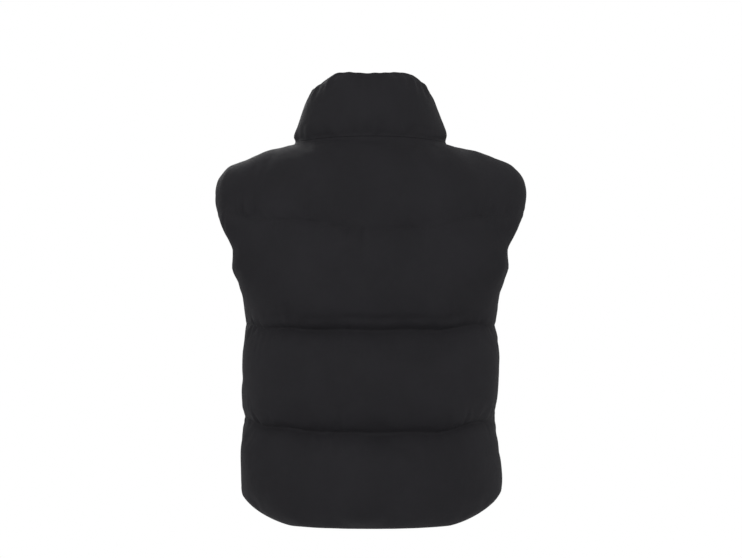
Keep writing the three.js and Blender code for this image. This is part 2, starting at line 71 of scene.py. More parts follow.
UNDERARM = 0.314

# Sizes of the finer form
SEAM_MEETS = 0.0004  # how far a sewn edge's rounded rim reaches over the gap to its neighbour
HEM_RIM = 0.0028
ARMHOLE_RIM = 0.0025
COLLAR_RIM = 0.0016
THINNEST_WALL = 0.004
PUCKER_HEIGHT = 0.0009
INSIDE_DENT = (0.0011, 0.0032)  # depth and reach of the seams' dents in the inner face

# Steps for measuring slopes: across and round as shares, up in metres
ACROSS_STEP = 0.004
AROUND_STEP = 0.01
UP_STEP = 0.001
NECK_RISE = 0.040
MIRROR = np.array([-1, 1, 1])

# up, y, z, half_width, edge_y, edge_z, wrap in degrees, flat, bend
BACK_LEVELS = [
    (0.000, 0.118, -0.583, 0.192, 0.000, -0.560, 90, 0.6, 1.4),
    (0.136, 0.115, -0.434, 0.191, 0.000, -0.433, 90, 0, 3),
    (0.282, 0.121, -0.286, 0.190, 0.000, -0.287, 90, 0, 3),
    (0.314, 0.122, -0.254, 0.187, 0.000, -0.254, 90, 0, 3),
    (0.328, 0.122, -0.240, 0.194, 0.027, -0.241, 76, 0, 3),
    (0.358, 0.122, -0.211, 0.200, 0.048, -0.209, 62, 0, 3),
    (0.400, 0.120, -0.171, 0.205, 0.060, -0.166, 54, 0, 3),
    (0.440, 0.115, -0.137, 0.232, 0.054, -0.114, 46, 0, 3),
    (0.505, 0.101, -0.069, 0.238, 0.031, -0.078, 38, 0, 3),
]
FRONT_LEVELS = [
    (0.000, -0.118, -0.573, 0.192, 0.000, -0.560, 90, 0.6, 1.4),
    (0.136, -0.120, -0.434, 0.191, 0.000, -0.433, 90, 0, 3),
    (0.282, -0.127, -0.288, 0.190, 0.000, -0.287, 90, 0, 3),
    (0.314, -0.127, -0.256, 0.187, 0.000, -0.254, 90, 0, 3),
    (0.328, -0.126, -0.244, 0.194, -0.029, -0.241, 75, 0, 3),
    (0.358, -0.125, -0.217, 0.199, -0.052, -0.209, 60, 0, 3),
    (0.400, -0.121, -0.181, 0.204, -0.066, -0.166, 52, 0, 3),
    (0.440, -0.115, -0.148, 0.230, -0.060, -0.114, 45, 0, 3),
    (0.505, -0.104, -0.107, 0.237, -0.034, -0.078, 38, 0, 3),
]
# up, half_width, side_y, side_z, back_y, back_z, front_y, front_z, lobes
COLLAR_LEVELS = [
    (0.000, 0.110, 0.000, -0.0115, 0.084, -0.005, -0.0920, -0.066, 0.0),
    (0.048, 0.092, -0.002, 0.0380, 0.080, 0.041, -0.0925, -0.014, 0.0),
    (0.100, 0.080, -0.004, 0.0890, 0.078, 0.094, -0.0930, 0.042, 0.0065),
]
COLLAR_TOP = COLLAR_LEVELS[-1][0]

# Small sums


def lerp(a, b, t):
    return a + (b - a) * t


def smoothstep(x, low, high):
    t = np.clip((x - low) / (high - low), 0.0, 1.0)
    return t * t * (3.0 - 2.0 * t)


def unit(v):
    return v / np.maximum(np.linalg.norm(v, axis=-1, keepdims=True), 1e-12)


def power(value, exponent):
    return np.sign(value) * np.abs(value) ** exponent


def lengths_along(points):
    """The length from the first point to each, along the last axis but one."""
    step = np.linalg.norm(np.diff(points, axis=-2), axis=-1)
    return np.concatenate([np.zeros((*step.shape[:-1], 1)), np.cumsum(step, axis=-1)], axis=-1)


def at_stations(at, stations, values):
    """Values (station, 3), read off between their stations."""
    return np.stack([np.interp(at, stations, values[:, k]) for k in range(3)], axis=-1)


def both_halves(there, here):
    """One grid from two halves that each run from the centre to a side."""
    return np.concatenate([there[:, :0:-1], here], axis=1)[:, ::-1]


def through(stations, points, at, end_slope=None):
    """Smooth curves through points (level, column, 3), at several stations: (row, column, 3)."""
    last = len(stations) - 1
    slopes = []
    for k in range(last + 1):
        a, b = max(k - 1, 0), min(k + 1, last)
        slopes.append((points[b] - points[a]) / (stations[b] - stations[a]))
    if end_slope is not None:
        slopes[last] = end_slope
    rows = []
    for u in at:
        i = 0
        while i < last - 1 and u > stations[i + 1]:
            i += 1
        span = stations[i + 1] - stations[i]
        t = (u - stations[i]) / span
        t2, t3 = t * t, t * t * t
        rows.append(
            points[i] * (2 * t3 - 3 * t2 + 1)
            + slopes[i] * ((t3 - 2 * t2 + t) * span)
            + points[i + 1] * (-2 * t3 + 3 * t2)
            + slopes[i + 1] * ((t3 - t2) * span)
        )
    return np.array(rows)


def ripple(x, seed, shortest, longest, count=9):
    """An uneven wave of about unit height along x, with wavelengths between two lengths."""
    rng = np.random.RandomState(seed)
    total = np.zeros_like(x)
    for _ in range(count):
        length = math.exp(rng.uniform(math.log(shortest), math.log(longest)))
        total = total + np.sin(2 * math.pi * x / length + rng.uniform(0, 2 * math.pi))
    return total / math.sqrt(count / 2.0)


# The inner faces, as the CAD model has them


def level_points(level, across, centre_x):
    _, y, z, half_width, edge_y, edge_z, wrap, flat, bend = level
    end = math.radians(wrap)
    turn = end * across
    sine = power(np.sin(turn), ROUNDNESS) / power(math.sin(end), ROUNDNESS)
    edge_cosine = power(max(math.cos(end), 0.0), ROUNDNESS)
    cosine = (power(np.maximum(np.cos(turn), 0.0), ROUNDNESS) - edge_cosine) / (1 - edge_cosine)
    turned = np.clip((sine - flat) / (1 - flat), 0.0, 1.0) ** bend
    place = [lerp(centre_x, half_width, sine), lerp(edge_y, y, cosine), lerp(z, edge_z, turned)]
    return np.stack(place, axis=-1)


def neck_points(across, centre, centre_x):
    turn = math.radians(90) * across
    y, z = centre
    x = lerp(centre_x, NECK_HALF_WIDTH, np.sin(turn))
    return np.stack([x, y * np.cos(turn), lerp(NECK_SIDE_Z, z, np.cos(turn) ** 2)], axis=-1)


def collar_points(around, up):
    """around: 0 at the centre back, 1 at the side of the neck, 2 at the zip."""
    at_back = around <= 1
    turn = math.radians(90) * np.where(at_back, around, 2 - around)
    rings = []
    for _, half_width, side_y, side_z, back_y, back_z, front_y, front_z, lobes in COLLAR_LEVELS:
        centre_x = np.where(at_back, 0.0, HALF_ZIP)
        y = np.where(at_back, back_y, front_y)
        z = np.where(at_back, back_z, front_z)
        ring = [lerp(centre_x, half_width, np.sin(turn)), lerp(side_y, y, np.cos(turn))]
        height = lerp(side_z, z, np.cos(turn) ** 2) + np.where(at_back, lobes * np.sin(2 * turn) ** 2, 0.0)
        rings.append(np.stack([*ring, height], axis=-1))
    return through([level[0] for level in COLLAR_LEVELS], np.array(rings), up)


slope_angle = math.atan2(NECK_SIDE_Z - SHOULDER_TIP[1], SHOULDER_TIP[0] - NECK_HALF_WIDTH)
SHOULDER_UP = np.array([math.sin(slope_angle), 0.0, math.cos(slope_angle)])


def neck_out(across, centre):
    """Which way the walls' thickness points along the neck seam, for columns from 0 to 1."""
    side = math.copysign(1.0, centre[0])
    centre_x = 0.0 if side > 0 else HALF_ZIP
    around = across if side > 0 else 2 - across
    rise = collar_points(around, [NECK_RISE])[0] - collar_points(around, [0.0])[0]
    here = neck_points(across, centre, centre_x)
    after, before = across + AROUND_STEP, np.maximum(across - AROUND_STEP, 0)
    tangent = neck_points(after, centre, centre_x) - neck_points(before, centre, centre_x)
    levels = BACK_LEVELS if side > 0 else FRONT_LEVELS
    body_rise = here - level_points(levels[-1], across * NECK_SHARE, centre_x)
    body_out = unit(np.cross(tangent, body_rise) * -side)
    collar_side = unit(np.cross(tangent, rise) * -side)
    blend = smoothstep(across, 0.5, 1.0)[:, None]
    out = unit(lerp(body_out, SHOULDER_UP, blend)) + collar_side
    corner = unit(np.stack([rise[:, 2], np.zeros(len(across)), -rise[:, 0]], axis=-1)) + SHOULDER_UP
    out = np.where((across >= 1)[:, None], corner, out)
    out[across == 0, 0] = 0.0
    return unit(out)


def shoulder_points(along):
    z = lerp(NECK_SIDE_Z, SHOULDER_TIP[1], 0.72 * along + 0.28 * along**2)
    return np.stack([lerp(NECK_HALF_WIDTH, SHOULDER_TIP[0], along), np.zeros_like(along), z], axis=-1)


def shoulder_out(along):
    corner = neck_out(np.array([1.0]), NECK_BACK)[0]
    return unit(lerp(SHOULDER_UP, corner, (1 - smoothstep(along, 0.0, 0.25))[:, None]))


class BodyHalf:
    """One half of a body panel: across runs from 0 at the centre to 1 at the side."""

    def __init__(self, levels, centre, centre_x):
        self.levels, self.centre, self.centre_x = levels, centre, centre_x
        self.side = math.copysign(1.0, centre[0])

    def top(self, across):
        neck = neck_points(np.minimum(across / NECK_SHARE, 1.0), self.centre, self.centre_x)
        along = np.clip((across - NECK_SHARE) / (1 - NECK_SHARE), 0.0, 1.0)
        return np.where((across <= NECK_SHARE)[:, None], neck, shoulder_points(along))

    def top_out(self, across):
        neck = neck_out(np.minimum(across / NECK_SHARE, 1.0), self.centre)
        along = np.clip((across - NECK_SHARE) / (1 - NECK_SHARE), 0.0, 1.0)
        return np.where((across <= NECK_SHARE)[:, None], neck, shoulder_out(along))

    def own_side(self, points):
        points[..., 1] = self.side * np.maximum(self.side * points[..., 1], 0.0)
        return points

    def free_points(self, across, up):
        stations = [level[0] for level in self.levels] + [TOP]
        rows = [level_points(level, across, self.centre_x) for level in self.levels] + [self.top(across)]
        out = self.top_out(across)
        slope = rows[-1] - rows[-2]
        slope = (slope - out * np.sum(slope * out, axis=-1, keepdims=True)) / (stations[-1] - stations[-2])
        return through(stations, np.array(rows), up, slope)

    def points(self, across, up):
        return self.own_side(self.free_points(across, up))

    def out(self, across, up):
        after, before = np.minimum(across + ACROSS_STEP, 1), np.maximum(across - ACROSS_STEP, 0)
        above, below = np.minimum(up + UP_STEP, TOP), np.maximum(up - UP_STEP, 0)
        over = self.free_points(after, up) - self.free_points(before, up)
        rise = self.free_points(across, above) - self.free_points(across, below)
        normal = np.cross(over, rise) * -self.side
        normal[:, across == 0, 0] = 0.0
        low = np.nonzero(up <= UNDERARM)[0]
        for i in np.nonzero(across == 1)[0]:
            normal[low, i, 1] = 0.0
        blend = smoothstep(up, TOP - 0.016, TOP)[:, None, None]
        return unit(lerp(unit(normal), self.top_out(across)[None], blend))


def channel_fill(share):
    sagged = np.clip(share, 0, 1) ** SAG
    return 1 - np.abs(2 * sagged - 1) ** CHANNEL_CURVE


def edge_fill(distance, reach):
    return 1 - (1 - np.clip(distance / reach, 0, 1)) ** PULL_CURVE


def neck_lift(distance):
    """What the thick neck seam adds to a wall at a distance from it."""
    return (NECK_WALL - SEAM_WALL) * (1 - edge_fill(distance, NECK_TAPER))


def body_wall(up, across, to_side, to_zip, keep=UPPER_SEAM_LOFT):
    """The wall's thickness, from fields of one shape (row, column). to_zip is None on the back."""
    channel = np.clip(np.searchsorted(SEAMS, up, side="right") - 1, 0, 3)
    low = np.take(SEAMS, channel)
    high = np.take(SEAMS, channel + 1)
    share = (up - low) / (high - low)
    loft = np.where(channel == 3, YOKE_LOFT, BODY_LOFT)
    near_upper = ((channel == 2) & (share > 0.5)) | ((channel == 3) & (share < 0.5))
    kept = np.where(near_upper, keep / loft, 0.0)
    fill = lerp(kept, 1.0, channel_fill(share))
    from_top = TOP - up
    shoulder = smoothstep(across, NECK_SHARE, 0.95)
    thinned = lerp(1.0, smoothstep(from_top, -0.010, 0.040), shoulder)
    fill = np.where(channel == 3, fill * thinned, fill)
    pulled = edge_fill(to_side, lerp(SIDE_PULL, ARMHOLE_PULL, smoothstep(up, 0.300, 0.380)))
    lift = neck_lift(from_top) * (1 - shoulder)
    if to_zip is not None:
        pulled = pulled * edge_fill(to_zip, ZIP_PULL)
        lift = lift * edge_fill(to_zip, ZIP_LIFT_PULL)
    armhole = smoothstep(up, UNDERARM, UNDERARM + 0.030) * (1 - smoothstep(to_side, 0.0, 0.012))
    hem = 1 - smoothstep(up, 0.0, 0.012)
    edge = lerp(SEAM_WALL, FREE_EDGE_WALL, np.maximum(armhole, hem))
    return edge + np.hypot(loft * fill * pulled, lift)


# Finer form: puckers along the seams, and the uneven filling


def seam_puckers(up, along, seed):
    """Height of the gathers that run out from the quilt seams, as a (row, column) field."""
    total = np.zeros_like(along)
    for k, seam in enumerate(SEAMS[1:-1]):
        for side in (-1, 1):
            distance = (up - seam) * side
            key = seed + 10 * k + side
            wave = ripple(along, key, 0.009, 0.032)
            crowd = np.clip(0.45 + 0.55 * ripple(along, key + 50, 0.05, 0.20, 5), 0.05, 1.3)
            reach = np.clip(0.008 + 0.004 * ripple(along, key + 80, 0.03, 0.12, 5), 0.004, 0.016)
            shape = np.where(distance > 0, (distance / reach) * np.exp(1 - distance / reach), 0.0)
            total += wave * crowd * shape * PUCKER_HEIGHT
    return total


# Where the seams on the back dip below their level: seam, centre x, reach and depth
BACK_DIPS = [
    (SEAMS[1], 0.000, 0.130, 0.0070),
    (SEAMS[2], 0.000, 0.130, 0.0040),
    (SEAMS[3], -0.018, 0.080, 0.0120),
]
# Deeper stretches of the back's shallow upper seam: centre x, reach and depth
BACK_PINCHES = [
    (0.086, 0.036, 0.0035),
    (-0.018, 0.062, 0.0045),
]
COLLAR_SLUMP = 0.0050  # how far the collar's top sinks at the wearer's left
ARMHOLE_FULLNESS = 0.0055  # how much fuller the cloth is beside the lower half of the armhole
# The soft fold over the back's waist seam: height above it, reach to the sides and depth
WAIST_FOLD = (0.0165, 0.155, 0.0022)


def within(position, centre, reach):
    return 1 - smoothstep(np.abs(position - centre), reach * 0.6, reach * 1.35)


def upper_seam_keep(along, seed, pinches):
    """How much loft the shallow seam over the shoulder blades keeps, from place to place."""
    uneven = ripple(along, seed + 7, 0.03, 0.14, 7) * (0.0008 if pinches else 0.0016)
    pinched = sum(depth * within(along, centre, reach) for centre, reach, depth in pinches)
    return np.clip(UPPER_SEAM_LOFT + (0.0022 if pinches else 0.0006) + uneven - pinched, 0.014, 0.0225)


def broad_unevenness(up, along, seed):
    total = np.zeros_like(along)
    rng = np.random.RandomState(seed)
    for _ in range(14):
        length = rng.uniform(0.06, 0.2)
        angle = rng.uniform(-0.9, 0.9)
        phase = rng.uniform(0, 2 * math.pi)
        total += np.sin(2 * math.pi * (along * math.cos(angle) + up * math.sin(angle)) / length + phase)
    return total * 0.0016 / math.sqrt(7)


# Meshes


def clustered(low, high, count, pull=0.5):
    """Stations between two values, closer together towards both ends."""
    t = np.linspace(0, 1, count)
    return lerp(low, high, lerp(t, (1 - np.cos(math.pi * t)) / 2, pull))


def linked(name, data):
    """A new object in the scene."""
    obj = bpy.data.objects.new(name, data)
    bpy.context.scene.collection.objects.link(obj)
    return obj


def grid_quads(index):
    corners = (index[:-1, :-1], index[:-1, 1:], index[1:, 1:], index[1:, :-1])
    return np.stack([corner.ravel() for corner in corners], axis=1)


def wall_mesh(name, outer, inner, lay, bulge):
    """A closed wall from an outer and an inner grid (row, column, 3), whose edges are joined by a rounded rim.

    lay (row, column, 2) is where each point lies on the flat cloth, and bulge (row, column, 3) is how far the
    rim stands out past the edge.
    """
    rows, columns = outer.shape[:2]
    index = np.arange(rows * columns).reshape(rows, columns)
    loop = [(0, i) for i in range(columns)] + [(j, columns - 1) for j in range(1, rows)]
    loop += [(rows - 1, i) for i in range(columns - 2, -1, -1)] + [(j, 0) for j in range(rows - 2, 0, -1)]
    verts = [outer.reshape(-1, 3), inner.reshape(-1, 3)]
    flat = [lay.reshape(-1, 2), lay.reshape(-1, 2)]
    edge = np.array(loop)
    out_edge = outer[edge[:, 0], edge[:, 1]]
    in_edge = inner[edge[:, 0], edge[:, 1]]
    push = bulge[edge[:, 0], edge[:, 1]]
    flat_edge = lay[edge[:, 0], edge[:, 1]]
    rings = [index[edge[:, 0], edge[:, 1]]]
    base = 2 * rows * columns
    for angle in (30, 65, 90, 115, 150):
        t = (1 - math.cos(math.radians(angle))) / 2
        verts.append(lerp(out_edge, in_edge, t) + push * math.sin(math.radians(angle)))
        flat.append(flat_edge)
        rings.append(np.arange(len(loop)) + base)
        base += len(loop)
    rings.append(index[edge[:, 0], edge[:, 1]] + rows * columns)

    faces = grid_quads(index)
    quads = [faces, faces[:, [0, 3, 2, 1]] + rows * columns]
    for near, far in zip(rings, rings[1:]):
        quads.append(np.stack([np.roll(near, -1), near, far, np.roll(far, -1)], axis=1))
    return mesh_object(name, np.concatenate(verts), np.concatenate(quads), np.concatenate(flat))


def mesh_object(name, verts, quads, flat=None):
    mesh = bpy.data.meshes.new(name)
    mesh.vertices.add(len(verts))
    mesh.vertices.foreach_set("co", np.asarray(verts, np.float32).ravel())
    mesh.loops.add(quads.size)
    mesh.loops.foreach_set("vertex_index", quads.astype(np.int32).ravel())
    mesh.polygons.add(len(quads))
    mesh.polygons.foreach_set("loop_start", np.arange(0, quads.size, 4, dtype=np.int32))
    mesh.update(calc_edges=True)
    mesh.polygons.foreach_set("use_smooth", np.ones(len(quads), bool))
    if flat is not None:
        layer = mesh.uv_layers.new(name="cloth")
        layer.data.foreach_set("uv", flat[quads.ravel()].astype(np.float32).ravel())
    return linked(name, mesh)


def rim_bulge(outer, edges):
    """How far each rim stands out: edges has one row or column of amounts for bottom, right, top and left."""
    push = np.zeros_like(outer)
    bottom, right, top, left = edges
    push[0] += unit(outer[0] - outer[1]) * bottom[:, None]
    push[-1] += unit(outer[-1] - outer[-2]) * top[:, None]
    push[:, -1] += unit(outer[:, -1] - outer[:, -2]) * right[:, None]
    push[:, 0] += unit(outer[:, 0] - outer[:, 1]) * left[:, None]
    return push


def body_rows():
    parts = [clustered(low, high, 37, 0.55)[:-1] for low, high in zip(SEAMS, SEAMS[1:])]
    return np.append(np.concatenate(parts), TOP)


def spread_out(field, share, rounds):
    """A grid's field, drawn to its neighbours' average by a share (row, column, 1), with its edges kept."""
    for _ in range(rounds):
        average = (field[1:-1, 2:] + field[1:-1, :-2] + field[2:, 1:-1] + field[:-2, 1:-1]) / 4
        field[1:-1, 1:-1] = lerp(field[1:-1, 1:-1], average, 0.9 * share[1:-1, 1:-1])
    return field


def evened_by_armhole(outer, up, across):
    """An outer face, with the fold at the foot of the armhole spread over the cloth round it."""
    window = smoothstep(up, 0.286, 0.312) * (1 - smoothstep(up, 0.330, 0.372))
    share = window[:, None] * smoothstep(across, 0.45, 0.80)[None, :]
    share[:, -1] = 0.0
    return spread_out(outer, share[:, :, None], 120)


def evened_near_neck(out, across, up):
    """The ways out, with the sharp turn at the corner of neck and shoulder spread over the cloth below it."""
    near = np.exp(-(((across - NECK_SHARE) / 0.16) ** 2))[None, :, None]
    below = smoothstep(up, TOP - 0.13, TOP - 0.05) * smoothstep(TOP - up, 0.0, 0.012)
    return unit(spread_out(out, near * below[:, None, None], 260))


def from_ends(place):
    """How far each point is from the nearer end of its row."""
    return np.minimum(np.abs(place - place[:, :1]), np.abs(place - place[:, -1:]))


# How near a seam, a side and the collar's two edges the cloth is held while it settles
HELD_BY_SEAM = 0.0030
HELD_BY_EDGE = 0.0045
HELD_BY_END = 0.0035


def body_panel(name, node, levels, centre, sign, seed):
    """sign is 1 or -1 for a front on that side, and 0 for the back, which has both halves."""
    centre_x = 0.0 if sign == 0 else HALF_ZIP
    half = BodyHalf(levels, centre, centre_x)
    neck = NECK_SHARE * (np.linspace(0, 1, 37) ** 1.4 if sign else np.linspace(0, 1, 35))
    side = lerp(NECK_SHARE, 1.0, 1 - (1 - np.linspace(0, 1, 46)) ** 1.35)
    across = np.concatenate([neck, side[1:]])
    up = body_rows()
    inner = half.points(across, up)
    out = evened_near_neck(half.out(across, up), across, up)
    along = lengths_along(inner)
    to_side = along[:, -1:] - along
    up_column = np.broadcast_to(up[:, None], along.shape)
    across_row = np.broadcast_to(across[None, :], along.shape)

    def wander_of(position, seed_here):
        uneven = 0.0016 * ripple(position, seed_here + 9, 0.08, 0.30, 5) * smoothstep(to_side, 0.0, 0.05)
        above_first = smoothstep(up_column, SEAMS[1] - 0.05, SEAMS[1])
        below_last = 1 - smoothstep(up_column, SEAMS[3], SEAMS[3] + 0.05)
        wander = uneven * (above_first * below_last)
        for seam, middle, reach, depth in BACK_DIPS if sign == 0 else ():
            window = np.exp(-(((up_column - seam) / 0.045) ** 2))
            wander = wander + depth * window * within(position, middle, reach)
        return wander

    def walls_of(position, seed_here):
        wander = wander_of(position, seed_here)
        keep = upper_seam_keep(position, seed_here, BACK_PINCHES if sign == 0 else ())
        wall = body_wall(up_column + wander, across_row, to_side, along if sign else None, keep)
        loose = smoothstep(to_side, 0.0, 0.03) * smoothstep(up_column, 0.0, 0.02)
        loose = loose * smoothstep(TOP - up_column, 0, 0.02)
        if sign:
            loose = loose * smoothstep(along, 0.0, 0.02)
        uneven = seam_puckers(up_column + wander, position, seed_here)
        uneven = uneven + broad_unevenness(up_column, position, seed_here)
        by_armhole = smoothstep(up_column, 0.300, 0.332) * (1 - smoothstep(up_column, 0.392, 0.428))
        by_armhole = by_armhole * smoothstep(to_side, 0.0, 0.016) * (1 - smoothstep(to_side, 0.045, 0.11))
        wall = np.maximum(wall + uneven * loose + ARMHOLE_FULLNESS * by_armhole, THINNEST_WALL)
        deep, reach = INSIDE_DENT
        dent = sum(deep * np.exp(-(((up_column + wander - seam) / reach) ** 2)) for seam in SEAMS[1:-1])
        outer = evened_by_armhole(half.own_side(inner + out * wall[..., None]), up, across)
        return outer, half.own_side(inner + out * dent[..., None]), wander

    if sign == 0:
        there, here = walls_of(-along, seed), walls_of(along, seed)
        outer = both_halves(there[0] * MIRROR, here[0])
        inside = both_halves(there[1] * MIRROR, here[1])
        wander = both_halves(there[2], here[2])
        place = both_halves(-along, along)
    else:
        outer, inside, wander = walls_of(sign * along, seed)
        place = along
        if sign < 0:
            outer = outer[:, ::-1] * MIRROR
            inside = inside[:, ::-1] * MIRROR
            wander, place = wander[:, ::-1], -place[:, ::-1]
    shift = np.array([0, SEAM_GAP / 2 * math.copysign(1.0, centre[0]), 0])
    outer = outer + shift
    inside = inside + shift
    lay = np.stack([place, np.broadcast_to(up[:, None], place.shape)], axis=-1)

    armhole = ARMHOLE_RIM * smoothstep(up, UNDERARM, UNDERARM + 0.02) * smoothstep(TOP - up, 0.0, 0.02)
    hem = np.full(outer.shape[1], HEM_RIM)
    if sign == 0:
        above, reach, depth = WAIST_FOLD
        crease = np.exp(-(((up[:, None] + wander - SEAMS[2] - above) / 0.0045) ** 2))
        crease = crease * within(place, 0.0, reach)
        fold = depth * crease * (0.8 + 0.3 * ripple(place, 41, 0.04, 0.2, 5))
    else:
        fold = np.zeros_like(place)
    by_seam = np.min([np.abs(up[:, None] + wander - seam) for seam in SEAMS], axis=0)
    held = (by_seam < HELD_BY_SEAM) | (from_ends(place) < HELD_BY_EDGE)
    none = np.zeros(len(up))
    seam = np.where(up <= UNDERARM, SEAM_MEETS, 0.0)
    right = armhole + seam if sign >= 0 else none
    left = armhole + seam if sign <= 0 else none
    return {
        "name": name,
        "node": node,
        "outer": outer,
        "inside": inside,
        "place": place,
        "up": up,
        "lay": lay,
        "held": held,
        "fold": fold,
        "rims": (hem, right, np.full(outer.shape[1], SEAM_MEETS), left),
        "grooves": [seam - wander[np.searchsorted(up, seam)] for seam in SEAMS[1:-1]],
    }


def collar_outward(around, up):
    above, below = np.minimum(up + UP_STEP, COLLAR_TOP), np.maximum(up - UP_STEP, 0)
    after, before = np.minimum(around + AROUND_STEP, 2), np.maximum(around - AROUND_STEP, 0)
    rise = collar_points(around, above) - collar_points(around, below)
    over = collar_points(after, up) - collar_points(before, up)
    normal = np.cross(rise, over)
    normal[:, (around == 0) | (around == 2), 0] = 0.0
    back_seam = neck_out(np.minimum(around, 1.0), NECK_BACK)
    front_seam = neck_out(np.clip(2 - around, 0, 1), NECK_FRONT)
    seam = np.where((around <= 1)[:, None], back_seam, front_seam)
    blend = (1 - smoothstep(up, 0.0, 0.016))[:, None, None]
    return unit(lerp(unit(normal), seam[None], blend))


def collar_piece():
    half = np.concatenate([np.linspace(0, 1, 40), 2 - clustered(0, 1, 40, 0.35)[::-1][1:]])
    up = clustered(0, COLLAR_TOP, 41, 0.5)
    inner = collar_points(half, up)
    out = collar_outward(half, up)
    along = lengths_along(inner)
    up_column = np.broadcast_to(up[:, None], along.shape)
    to_zip = (2 - half)[None, :] * 0.130

    def outer_of(position):
        edge = lerp(SEAM_WALL, FREE_EDGE_WALL, smoothstep(up_column, COLLAR_TOP - 0.012, COLLAR_TOP))
        puffed = np.hypot(COLLAR_LOFT * channel_fill(up_column / COLLAR_TOP), neck_lift(up_column))
        wall = edge + puffed * edge_fill(to_zip, ZIP_LIFT_PULL)
        at_top = ripple(position, 71, 0.012, 0.040) * 0.0013 * smoothstep(up_column, 0.055, 0.092)
        at_top = at_top * (1 - smoothstep(up_column, 0.094, COLLAR_TOP))
        at_seam = ripple(position, 72, 0.018, 0.06) * 0.0011
        at_seam = at_seam * smoothstep(0.03 - up_column, 0.0, 0.02) * smoothstep(up_column, 0, 0.006)
        broad = broad_unevenness(up_column, position, 73) * 0.8
        broad = broad * smoothstep(up_column, 0, 0.02) * smoothstep(COLLAR_TOP - up_column, 0, 0.01)
        gathers = at_top + at_seam + broad
        wall = np.maximum(wall + gathers * smoothstep(to_zip, 0.0, 0.02), THINNEST_WALL)
        return inner + out * wall[..., None]

    outer = both_halves(outer_of(-along) * MIRROR, outer_of(along))
    inside = both_halves(inner * MIRROR, inner)
    place = both_halves(-along, along)
    slumped = smoothstep(up, 0.045, COLLAR_TOP)[:, None] * smoothstep(inside[..., 0], 0.046, 0.066)
    slumped = COLLAR_SLUMP * slumped * smoothstep(inside[..., 1], -0.06, 0.0)
    outer = outer + [0, 0, COLLAR_GAP] - slumped[..., None] * [0, 0, 1]
    inside = inside + [0, 0, COLLAR_GAP] - slumped[..., None] * [0, 0, 1]
    lay = np.stack([place, np.broadcast_to(up[:, None] + 0.6, place.shape)], axis=-1)
    wobble = COLLAR_RIM * (1 + 0.25 * ripple(place[-1], 77, 0.012, 0.05))
    none = np.zeros(len(up))
    from_end = np.minimum(up, COLLAR_TOP - up)[:, None]
    return {
        "name": "collar_quilted",
        "node": "collar",
        "outer": outer,
        "inside": inside,
        "place": place,
        "up": up,
        "lay": lay,
        "held": (from_ends(place) < HELD_BY_EDGE) | (from_end < HELD_BY_END),
        "rims": (np.full(outer.shape[1], SEAM_MEETS), none, wobble, none),
    }


# The filling settles: the outer faces swell and crease between the seams that hold them

SETTLE_FRAMES = 20
SETTLE_GROWTH = 0.02
SETTLE_CAP = 0.006
SWELLING_ROUNDS = 60  # rounds of averaging that leave the broad swelling alone
SWELLING_TAKEN_OFF = 0.75


def sheet_to_settle(panel):
    grid = panel["outer"]
    rows, columns = grid.shape[:2]
    index = np.arange(rows * columns).reshape(rows, columns)
    sheet = mesh_object("settling", grid.reshape(-1, 3), grid_quads(index))
    held = sheet.vertex_groups.new(name="held")
    held.add(np.nonzero(panel["held"].ravel())[0].tolist(), 1.0, "REPLACE")
    cloth = sheet.modifiers.new("cloth", "CLOTH")
    cloth.point_cache.frame_start = 1
    cloth.point_cache.frame_end = SETTLE_FRAMES
    settings = cloth.settings
    settings.quality = 6
    settings.mass = 0.0002
    settings.tension_stiffness = 8
    settings.compression_stiffness = 8
    settings.shear_stiffness = 4
    settings.bending_stiffness = 0.02
    settings.air_damping = 2
    settings.vertex_group_mass = "held"
    settings.pin_stiffness = 1
    settings.shrink_min = -SETTLE_GROWTH
    settings.use_pressure = True
    settings.uniform_pressure_force = 4
    settings.effector_weights.gravity = 0
    cloth.collision_settings.use_collision = False
    cloth.collision_settings.use_self_collision = False
    return sheet


def softened(field, rounds):
    """A grid's field after some rounds of averaging with its neighbours, with its edges kept."""
    field = field.copy()
    for _ in range(rounds):
        around = field[1:-1, 2:] + field[1:-1, :-2] + field[2:, 1:-1] + field[:-2, 1:-1]
        field[1:-1, 1:-1] = (field[1:-1, 1:-1] + around) / 5
    return field


def settle(panels):
    """Simulate the outer faces as cloth under pressure and keep their creases, not the overall swelling."""
    scene = bpy.context.scene
    sheets = [sheet_to_settle(panel) for panel in panels]
    for frame_number in range(1, SETTLE_FRAMES + 1):
        scene.frame_set(frame_number)
    depsgraph = bpy.context.evaluated_depsgraph_get()
    for panel, sheet in zip(panels, sheets):
        mesh = sheet.evaluated_get(depsgraph).data
        points = np.empty(len(mesh.vertices) * 3, np.float32)
        mesh.vertices.foreach_get("co", points)
        moved = softened(points.reshape(panel["outer"].shape) - panel["outer"], 2)
        creases = moved - SWELLING_TAKEN_OFF * softened(moved, SWELLING_ROUNDS)
        size = np.linalg.norm(creases, axis=-1, keepdims=True)
        creases *= np.minimum(1.0, SETTLE_CAP / np.maximum(size, 1e-9))
        panel["outer"] = panel["outer"] + creases
    for sheet in sheets:
        mesh = sheet.data
        bpy.data.objects.remove(sheet)
        bpy.data.meshes.remove(mesh)
    scene.frame_set(1)


def build_wall(panel):
    if "fold" in panel:
        panel["outer"] = panel["outer"] - grid_normals(panel["outer"]) * panel["fold"][..., None]
    bulge = rim_bulge(panel["outer"], panel["rims"])
    panel["object"] = wall_mesh(panel["name"], panel["outer"], panel["inside"], panel["lay"], bulge)
    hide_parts(panel["node"])


# Zip


